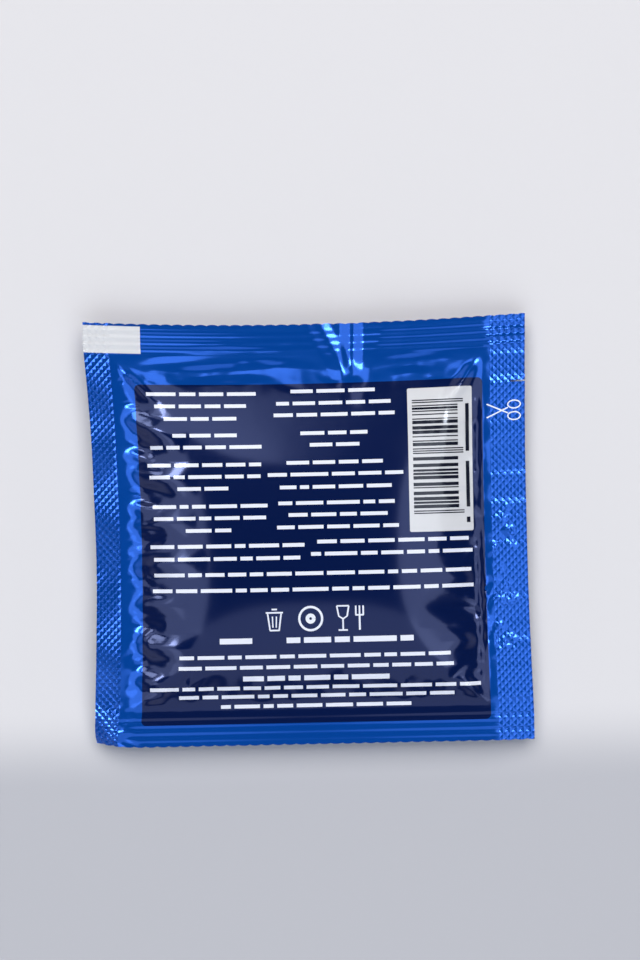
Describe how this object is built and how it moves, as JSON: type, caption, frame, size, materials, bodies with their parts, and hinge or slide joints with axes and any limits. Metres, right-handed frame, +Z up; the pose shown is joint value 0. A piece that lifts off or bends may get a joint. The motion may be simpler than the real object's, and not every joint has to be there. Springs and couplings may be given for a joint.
{
  "type": "coffee pod sachet",
  "caption": "Sealed square foil sachet holding one single-dose coffee pod, with knurled side seals, ribbed scalloped end seals and a tear slit.",
  "frame": {"origin": "centre of the bounding box, on the surface that the sachet lies on", "axes": "+X across the film towards the side seal with the tear slit, +Y towards the top seal, +Z up out of the printed face"},
  "size_m": [0.096, 0.0924, 0.0149],
  "materials": {
    "printed_film": "glossy printed foil laminate"
  },
  "bodies": {
    "root": {"sachet": "printed_film"}
  },
  "joints": []
}
